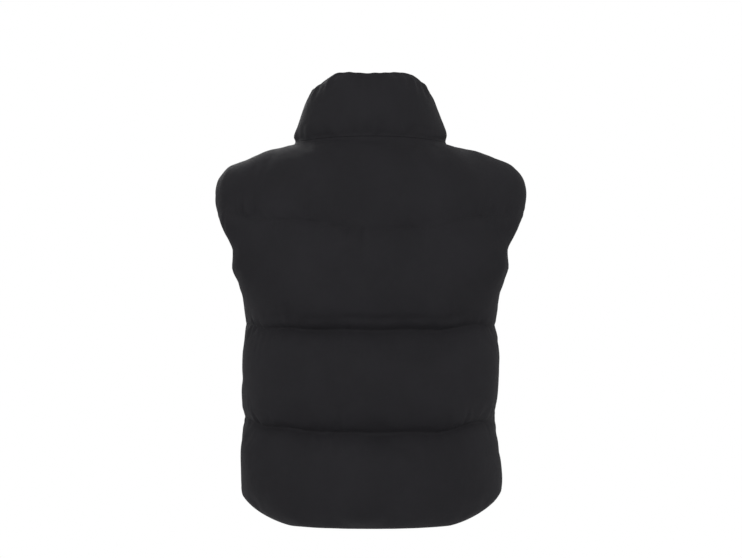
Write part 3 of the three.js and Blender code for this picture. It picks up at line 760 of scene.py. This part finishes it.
def zip_line():
    """The zip's centre line from the hem to the collar's top: points, the way out of the vest, and lengths."""
    front = BodyHalf(FRONT_LEVELS, NECK_FRONT, HALF_ZIP)
    edge = np.array([0.0])
    up = np.linspace(0.002, TOP - 0.003, 20)
    inner, out = front.points(edge, up)[:, 0], front.out(edge, up)[:, 0]
    body = inner + out * (SEAM_WALL / 2) + [0, -SEAM_GAP / 2, 0]
    rise = np.linspace(0.005, COLLAR_TOP - 0.003, 6)
    end = np.array([2.0])
    collar_inner = collar_points(end, rise)[:, 0]
    collar_out = collar_outward(end, rise)[:, 0]
    collar = collar_inner + collar_out * (SEAM_WALL / 2) + [0, 0, COLLAR_GAP]
    points = np.concatenate([body, collar])
    points[:, 0] = 0.0
    return points, unit(np.concatenate([out, collar_out]) * [0, 1, 1]), lengths_along(points)


def along_zip(line, at):
    """Points, the way up the zip and the way out of the vest, at distances along it."""
    points, ways, stations = line
    at = np.asarray(at, float)
    place, out = at_stations(at, stations, points), unit(at_stations(at, stations, ways))
    rise = unit(at_stations(at + 0.002, stations, points) - at_stations(at - 0.002, stations, points))
    return place, unit(rise - out * np.sum(rise * out, axis=-1, keepdims=True)), out


def extruded(outline, levels):
    """A solid from an outline (x, y) at several heights: levels are (height, how far the outline is drawn in)."""
    outline = np.asarray(outline, float)
    before, after = np.roll(outline, 1, axis=0), np.roll(outline, -1, axis=0)
    tangent = after - before
    normal = unit(np.stack([tangent[:, 1], -tangent[:, 0]], axis=-1))
    rings = [np.column_stack([outline - normal * draw, np.full(len(outline), height)]) for height, draw in levels]
    count = len(outline)
    faces = [list(range(count))[::-1]]
    for k in range(len(levels) - 1):
        for i in range(count):
            j = (i + 1) % count
            faces.append([k * count + i, k * count + j, (k + 1) * count + j, (k + 1) * count + i])
    faces.append(list(range((len(levels) - 1) * count, len(levels) * count)))
    return np.concatenate(rings), faces


def plain_object(name, verts, faces, smooth=False):
    mesh = bpy.data.meshes.new(name)
    mesh.from_pydata([tuple(v) for v in verts], [], faces)
    mesh.polygons.foreach_set("use_smooth", np.full(len(faces), smooth))
    mesh.update()
    return linked(name, mesh)


def repeated(name, shape, places, rises, outs, flips, smooth=False):
    """Copies of one shape, (x, y up the zip, z out of the vest), at several places. flips mirror some in x."""
    verts, faces = shape
    x = np.array([1.0, 0.0, 0.0])
    everything, polygons = [], []
    for k, (place, rise, out, flip) in enumerate(zip(places, rises, outs, flips)):
        everything.append(place + verts[:, :1] * x * flip + verts[:, 1:2] * rise + verts[:, 2:] * out)
        shift = k * len(verts)
        polygons.extend([[i + shift for i in (face if flip > 0 else face[::-1])] for face in faces])
    return plain_object(name, np.concatenate(everything), polygons, smooth)


TOOTH_PITCH = 0.0027
TOOTH_HALF_THICK = 0.0013
TOOTH_CHAMFER = 0.00022
TOOTH = [
    (0.0028, -0.00072), (0.0028, 0.00072), (0.0011, 0.00078), (0.0004, 0.00048),
    (-0.0002, 0.00060), (-0.0008, 0.00050), (-0.0011, 0.00018), (-0.0011, -0.00018),
    (-0.0008, -0.00050), (-0.0002, -0.00060), (0.0004, -0.00048), (0.0011, -0.00078),
]
STOP_BLOCK = [
    (0.0014, -0.0017), (0.0034, -0.0017), (0.0038, -0.0013),
    (0.0038, 0.0013), (0.0034, 0.0017), (0.0014, 0.0017),
]
STOP_ABOVE_SLIDER = 0.0080
# Across the tape: distance from the zip's centre, and height, with the cord at the inner edge
TAPE_SECTION = [
    (0.0008, 0.0), (0.0010, 0.00045), (0.0015, 0.00064), (0.0020, 0.00058), (0.0025, 0.00040),
    (0.0050, 0.00034), (0.0078, 0.00034), (0.0078, -0.00034), (0.0050, -0.00034),
    (0.0025, -0.00040), (0.0020, -0.00058), (0.0015, -0.00064), (0.0010, -0.00045),
]
SLIDER_FROM_TOP = 0.014
WEDGE_FROM = 0.0025
RETAINER_LENGTH = 0.010


def zip_pieces():
    line = zip_line()
    top_at = line[2][-1]
    slider_at = top_at - SLIDER_FROM_TOP
    start = RETAINER_LENGTH + 0.0003

    at = np.arange(start + 0.0009, slider_at + WEDGE_FROM - 0.0009, TOOTH_PITCH / 2)
    flips = np.where(np.arange(len(at)) % 2 == 0, 1.0, -1.0)
    thick, bevel = TOOTH_HALF_THICK, TOOTH_CHAMFER
    levels = [(-thick, bevel), (-thick + bevel, 0.0), (thick - bevel, 0.0), (thick, bevel)]
    teeth = repeated("zip_teeth", extruded(TOOTH, levels), *along_zip(line, at), flips)
    stop_at = np.full(2, slider_at + STOP_ABOVE_SLIDER)
    block = extruded(STOP_BLOCK, levels)
    stops = repeated("zip_top_stops", block, *along_zip(line, stop_at), [1.0, -1.0])

    tapes = []
    for name, node, side in (
        ("zip_tape_left_woven", "zip_tape_left", 1),
        ("zip_tape_right_woven", "zip_tape_right", -1),
    ):
        place, _, out = along_zip(line, np.linspace(0.0006, top_at, 190))
        rings = [place + np.array([side * x, 0, 0]) + out * h for x, h in TAPE_SECTION]
        verts = np.stack(rings, axis=1)
        rows, columns = verts.shape[:2]
        index = np.arange(rows * columns).reshape(rows, columns)
        a, b = index[:-1], np.roll(index[:-1], -1, axis=1)
        c, d = np.roll(index[1:], -1, axis=1), index[1:]
        quads = np.stack([a.ravel(), b.ravel(), c.ravel(), d.ravel()], axis=1)
        faces = quads.tolist() if side > 0 else quads[:, ::-1].tolist()
        ends = [list(range(columns))[::-1], index[-1].tolist()]
        faces += ends if side > 0 else [face[::-1] for face in ends]
        tape = plain_object(name, verts.reshape(-1, 3), faces, True)
        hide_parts(node)
        tapes.append(tape)

    box = retainer_shape()
    middle = along_zip(line, [RETAINER_LENGTH / 2])
    retainer = repeated("zip_retainer_moulded", box, *middle, [1.0])
    return teeth, stops, tapes, retainer


def retainer_shape():
    """The moulded box at the zip's foot, with the pin's sleeve beside it, as one shape in the zip's own axes."""
    half, width, thick = RETAINER_LENGTH / 2, 0.0059, 0.0024
    body = [
        (-width, -half + 0.0008), (-width + 0.0008, -half), (width - 0.0008, -half),
        (width, -half + 0.0008), (width, half - 0.0030), (width - 0.0016, half - 0.0014),
        (0.0018, half - 0.0010), (0.0012, half), (-0.0012, half), (-0.0018, half - 0.0010),
        (-width + 0.0016, half - 0.0014), (-width, half - 0.0030),
    ]
    levels = [
        (-thick, 0.0007), (-thick + 0.0002, 0.0003), (-thick + 0.0007, 0.0),
        (thick - 0.0007, 0.0), (thick - 0.0002, 0.0003), (thick, 0.0007),
    ]
    verts, faces = extruded(body, levels)
    foot, head = -half + 0.0012, half - 0.0024
    sleeve = [(0.0012, foot), (0.0038, foot), (0.0038, head), (0.0012, head)]
    low = thick - 0.0004
    more, more_faces = extruded(sleeve, [(low, 0.0), (thick + 0.00015, 0.0), (thick + 0.0004, 0.0003)])
    shift = len(verts)
    return np.concatenate([verts, more]), faces + [[i + shift for i in face] for face in more_faces]


def bevelled_copy(name, node, width):
    """A copy of a hard CAD node with softened edges."""
    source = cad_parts[node]
    mesh = source.data.copy()
    mesh.name = name
    shape = bmesh.new()
    shape.from_mesh(mesh)
    bmesh.ops.remove_doubles(shape, verts=shape.verts, dist=1e-6)
    bmesh.ops.dissolve_limit(shape, angle_limit=math.radians(2), verts=shape.verts, edges=shape.edges)
    shape.to_mesh(mesh)
    shape.free()
    mesh.materials.clear()
    obj = linked(name, mesh)
    obj.matrix_world = source.matrix_world.copy()
    bevel = obj.modifiers.new("edges", "BEVEL")
    bevel.width = width
    bevel.segments = 3
    bevel.limit_method = "ANGLE"
    bevel.angle_limit = math.radians(35)
    bevel.harden_normals = True
    mesh.polygons.foreach_set("use_smooth", np.ones(len(mesh.polygons), bool))
    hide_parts(node)
    return obj


# Sewing


def stitched(name, rows, pitch=0.0036, length=0.0027, radius=0.00026):
    """Rows of short thread stitches, each a small rounded run lying on the cloth. rows are (points, ways out)."""
    ring = [(math.cos(a), math.sin(a)) for a in np.linspace(0, 2 * math.pi, 7)[:-1]]
    spans = [(-0.5, 0.15, -0.6), (-0.38, 0.8, 0.1), (0.0, 1.0, 0.5), (0.38, 0.8, 0.1), (0.5, 0.15, -0.6)]
    verts, faces = [], []
    for points, ways in rows:
        at = lengths_along(points)
        for s in np.arange(pitch / 2, at[-1] - pitch / 2, pitch):
            here, out = at_stations(s, at, points), at_stations(s, at, ways)
            ahead, behind = at_stations(s + length / 2, at, points), at_stations(s - length / 2, at, points)
            run = ahead - behind
            run = run / max(np.linalg.norm(run), 1e-9)
            out = unit(out - run * np.dot(out, run))
            side = np.cross(run, out)
            base = len(verts)
            for share, wide, lift in spans:
                centre = here + run * share * length + out * lift * radius
                verts.extend(centre + (side * x + out * y) * wide * radius for x, y in ring)
            for k in range(len(spans) - 1):
                for i in range(6):
                    j = (i + 1) % 6
                    near, far = base + 6 * k, base + 6 * k + 6
                    faces.append([near + i, near + j, far + j, far + i])
    return plain_object(name, verts, faces, True)


def grid_normals(grid):
    over = np.gradient(grid, axis=1)
    rise = np.gradient(grid, axis=0)
    return unit(np.cross(over, rise))


def groove_lines(panel, grid_name):
    """Lines for the stitches along a panel's quilt seams, and the ways out, on its outer or inside grid."""
    grid = panel[grid_name]
    ways = grid_normals(grid) * (1 if grid_name == "outer" else -1)
    lines = []
    for levels in panel["grooves"]:
        columns = range(3, grid.shape[1] - 3)
        line, outs = (
            np.array([at_stations(levels[i], panel["up"], source[:, i]) for i in columns]) for source in (grid, ways)
        )
        lines.append((line, unit(outs)))
    return lines


def edge_row(panel, distance, from_end):
    """A line for stitches at a distance in from one end of every row of a panel's outer grid."""
    grid, place = panel["outer"], panel["place"]
    ways = grid_normals(grid)
    points, outs = [], []
    for j in range(2, grid.shape[0] - 2):
        step = np.abs(place[j] - place[j, -1 if from_end else 0])
        order = np.argsort(step)
        points.append(at_stations(distance, step[order], grid[j][order]))
        outs.append(at_stations(distance, step[order], ways[j][order]))
    return np.array(points), unit(np.array(outs))


# Materials


class Nodes:
    def __init__(self, name):
        self.material = bpy.data.materials.new(name)
        self.material.use_nodes = True
        self.tree = self.material.node_tree
        self.tree.nodes.clear()
        self.output = self.add("ShaderNodeOutputMaterial")
        self.shader = self.add("ShaderNodeBsdfPrincipled")
        self.link(self.shader, "BSDF", self.output, "Surface")

    def add(self, kind, inputs=None, **settings):
        """A new node, with its own settings and the values of its inputs."""
        node = self.tree.nodes.new(kind)
        for key, value in settings.items():
            setattr(node, key, value)
        for key, value in (inputs or {}).items():
            node.inputs[key].default_value = value
        return node

    def link(self, source, out, target, into):
        self.tree.links.new(source.outputs[out], target.inputs[into])

    def set(self, **values):
        for key, value in values.items():
            self.shader.inputs[key.replace("_", " ")].default_value = value


def textured(nodes, kind, coordinates, inputs, **settings):
    """A texture node that reads the cloth's UV or the object's coordinates."""
    texture = nodes.add(kind, inputs, **settings)
    nodes.link(nodes.add("ShaderNodeTexCoord"), coordinates, texture, "Vector")
    return texture


def colour_ramp(nodes, source, low, high, positions=(0.35, 0.65)):
    ramp = nodes.add("ShaderNodeValToRGB")
    for element, position, colour in zip(ramp.color_ramp.elements, positions, (low, high)):
        element.position = position
        element.color = (*colour, 1)
    nodes.link(source, "Fac", ramp, "Fac")
    nodes.link(ramp, "Color", nodes.shader, "Base Color")


def uneven_roughness(nodes, source, low, high):
    spread = nodes.add("ShaderNodeMapRange", {"To Min": low, "To Max": high})
    nodes.link(source, "Fac", spread, "Value")
    nodes.link(spread, "Result", nodes.shader, "Roughness")


def relief(nodes, source, output, strength, height, target):
    bump = nodes.add("ShaderNodeBump", {"Strength": strength, "Distance": height})
    nodes.link(source, output, bump, "Height")
    nodes.link(bump, "Normal", target, "Normal")
    return bump


def woven_material(name, dark, light, thread, roughness, crinkle):
    """Closely woven cloth: thread is one yarn's width and crinkle the height of small creases, in metres."""
    nodes = Nodes(name)
    weave = nodes.add("ShaderNodeMath", operation="MAXIMUM")
    bands = {"Scale": 0.314 / thread, "Distortion": 0.6, "Detail": 1.0, "Detail Scale": 2.0}
    for into, axis in enumerate("XY"):
        yarn = textured(nodes, "ShaderNodeTexWave", "UV", bands, wave_type="BANDS", bands_direction=axis)
        nodes.link(yarn, "Fac", weave, into)
    small = {"Scale": 70.0, "Detail": 5.0, "Roughness": 0.55, "Distortion": 0.4}
    creases = textured(nodes, "ShaderNodeTexNoise", "Object", small)
    cloud = textured(nodes, "ShaderNodeTexNoise", "Object", {"Scale": 14.0, "Detail": 3.0})

    colour_ramp(nodes, cloud, dark, light)
    uneven_roughness(nodes, creases, roughness - 0.05, roughness + 0.06)
    coarse = relief(nodes, creases, "Fac", 0.7, crinkle, nodes.shader)
    relief(nodes, weave, "Value", 0.5, thread * 0.25, coarse)
    nodes.set(Sheen_Weight=0.02, Sheen_Roughness=0.35, Specular_IOR_Level=0.2)
    nodes.shader.inputs["Sheen Tint"].default_value = (0.9, 0.9, 1.0, 1.0)
    return nodes.material


def grained_material(name, grain, dark, light, positions, roughness, bump, **shader):
    """Hard material with a fine grain. grain is the noise's scale and detail, bump its strength and height."""
    nodes = Nodes(name)
    inputs = {"Scale": grain[0], "Detail": grain[1]}
    noise = textured(nodes, "ShaderNodeTexNoise", "Object", inputs)
    colour_ramp(nodes, noise, dark, light, positions)
    uneven_roughness(nodes, noise, *roughness)
    relief(nodes, noise, "Fac", *bump, nodes.shader)
    nodes.set(**shader)
    return nodes.material


def ribbed_material(name, inputs, dark, light, bump, **shader):
    """Fine slanting ribs, as on woven tape and twisted thread. bump is their strength and height."""
    nodes = Nodes(name)
    slanted = {"wave_type": "BANDS", "bands_direction": "DIAGONAL"}
    ribs = textured(nodes, "ShaderNodeTexWave", "Object", inputs, **slanted)
    colour_ramp(nodes, ribs, dark, light, (0.2, 0.8))
    relief(nodes, ribs, "Fac", *bump, nodes.shader)
    nodes.set(**shader)
    return nodes.material


shell = woven_material("shell_nylon", (0.0164, 0.0157, 0.0186), (0.0189, 0.0181, 0.0215), 0.0003, 0.72, 0.0008)
moulded = grained_material(
    "moulded_teeth", (900.0, 3.0), (0.0090, 0.0090, 0.0095), (0.0130, 0.0130, 0.0136), (0.35, 0.65),
    (0.44, 0.60), (0.3, 0.00005), Specular_IOR_Level=0.35,
)
# Black paint on die-cast metal, worn a little brighter in places
painted = grained_material(
    "painted_slider", (260.0, 6.0), (0.014, 0.014, 0.015), (0.030, 0.030, 0.032), (0.45, 0.75),
    (0.28, 0.46), (0.25, 0.00006), Metallic=0.6,
)
ribbon = ribbed_material(
    "woven_tape", {"Scale": 700.0, "Distortion": 1.0}, (0.0100, 0.0100, 0.0106), (0.0190, 0.0188, 0.0200),
    (0.6, 0.00012), Roughness=0.86, Specular_IOR_Level=0.2,
)
thread = ribbed_material(
    "sewing_thread", {"Scale": 1100.0}, (0.0130, 0.0128, 0.0140), (0.0210, 0.0206, 0.0226),
    (0.5, 0.00006), Roughness=0.55, Specular_IOR_Level=0.3,
)

# Camera, light and floor

PIXEL = 0.0016  # metres at the vest's middle for each pixel
DISTANCE = 1.5
CAMERA_Z = -0.216
IMAGE_WIDTH = 742
SENSOR = 36
LIGHT_AIM = (0, 0, -0.25)
LIGHT_SIZE = 1.8
FLOOR_Z = -1.42
FLOOR_SIDES = 96

camera_data = bpy.data.cameras.new("camera")
camera_data.sensor_width = SENSOR
camera_data.lens = SENSOR * DISTANCE / (IMAGE_WIDTH * PIXEL)
camera = linked("camera", camera_data)
camera.location = (-0.5 * PIXEL, DISTANCE, CAMERA_Z)
camera.rotation_euler = (math.radians(90), 0, math.radians(180))
bpy.context.scene.camera = camera


def area_light(name, location, power_watts):
    data = bpy.data.lights.new(name, "AREA")
    data.shape = "DISK"
    data.size = LIGHT_SIZE
    data.energy = power_watts
    light = linked(name, data)
    light.location = location
    light.rotation_euler = (Vector(LIGHT_AIM) - Vector(location)).to_track_quat("-Z", "Y").to_euler()


area_light("key", (1.3, 2.6, 0.8), 20)
area_light("fill", (-2.2, 1.4, 0.6), 9)
area_light("front_soft", (0.9, -2.5, 1.2), 24)

world = bpy.data.worlds.new("studio")
world.use_nodes = True
world_nodes = world.node_tree.nodes
soft_light = world_nodes["Background"]
soft_light.inputs["Color"].default_value = (1, 1, 1, 1)
soft_light.inputs["Strength"].default_value = 0.50
paper = world_nodes.new("ShaderNodeBackground")
paper.inputs["Color"].default_value = (1, 1, 1, 1)
paper.inputs["Strength"].default_value = 1.0
seen = world_nodes.new("ShaderNodeLightPath")
choose = world_nodes.new("ShaderNodeMixShader")
for source, into in ((seen.outputs["Is Camera Ray"], 0), (soft_light.outputs[0], 1), (paper.outputs[0], 2)):
    world.node_tree.links.new(source, choose.inputs[into])
world.node_tree.links.new(choose.outputs[0], world_nodes["World Output"].inputs["Surface"])
bpy.context.scene.world = world
bpy.context.scene.view_settings.view_transform = "Standard"

floor_material = Nodes("pale_floor")
floor_noise = floor_material.add("ShaderNodeTexNoise", {"Scale": 3.0})
colour_ramp(floor_material, floor_noise, (0.78, 0.78, 0.78), (0.82, 0.82, 0.82))
floor_material.set(Roughness=0.8)
turns = np.linspace(0, 2 * math.pi, FLOOR_SIDES + 1)[:-1]
radii = np.linspace(0.02, 2.0, 5)
disc = np.array([[r * math.cos(t), r * math.sin(t), FLOOR_Z] for r in radii for t in turns])
near = np.concatenate([np.arange(FLOOR_SIDES) + FLOOR_SIDES * k for k in range(len(radii) - 1)])
beside = near // FLOOR_SIDES * FLOOR_SIDES + (near + 1) % FLOOR_SIDES
disc_quads = np.stack([near, near + FLOOR_SIDES, beside + FLOOR_SIDES, beside], axis=1)
floor = mesh_object("floor", disc, disc_quads)
floor.data.materials.append(floor_material.material)

# The vest

back = body_panel("back_quilted", "back_panel", BACK_LEVELS, NECK_BACK, 0, 100)
left = body_panel("front_left_quilted", "front_left", FRONT_LEVELS, NECK_FRONT, 1, 300)
right = body_panel("front_right_quilted", "front_right", FRONT_LEVELS, NECK_FRONT, -1, 500)
stand = collar_piece()
panels = (back, left, right, stand)
settle(panels)
for panel in panels:
    build_wall(panel)
    piece = panel["object"]
    piece.data.materials.append(shell)
    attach(piece, "vest")

for name, panel in (("back", back), ("front_left", left), ("front_right", right)):
    lines = groove_lines(panel, "outer") + groove_lines(panel, "inside")
    stitches = stitched(f"{name}_quilt_stitches", lines)
    stitches.data.materials.append(thread)
    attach(stitches, "vest")

edges = []
for panel, from_end in ((left, False), (right, True), (stand, False), (stand, True)):
    for distance in (0.0022, 0.0080):
        edges.append(edge_row(panel, distance, from_end))
zip_stitches = stitched("zip_edge_stitches", edges)
zip_stitches.data.materials.append(thread)
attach(zip_stitches, "vest")

teeth, stops, tapes, retainer = zip_pieces()
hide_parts("zip_chain")
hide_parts("zip_retainer")
slider = bevelled_copy("zip_slider_painted", "zip_slider", 0.00028)
pull = bevelled_copy("zip_pull_tab_painted", "zip_pull_tab", 0.00030)
for piece, material, slot_name, body in (
    (teeth, moulded, "teeth", "vest"),
    (stops, moulded, "teeth", "vest"),
    (retainer, moulded, "teeth", "vest"),
    (tapes[0], ribbon, "tape", "vest"),
    (tapes[1], ribbon, "tape", "vest"),
    (slider, painted, "slider", "vest"),
    (pull, painted, "slider", "pull_tab"),
):
    piece.data.materials.append(material)
    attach(piece, body)
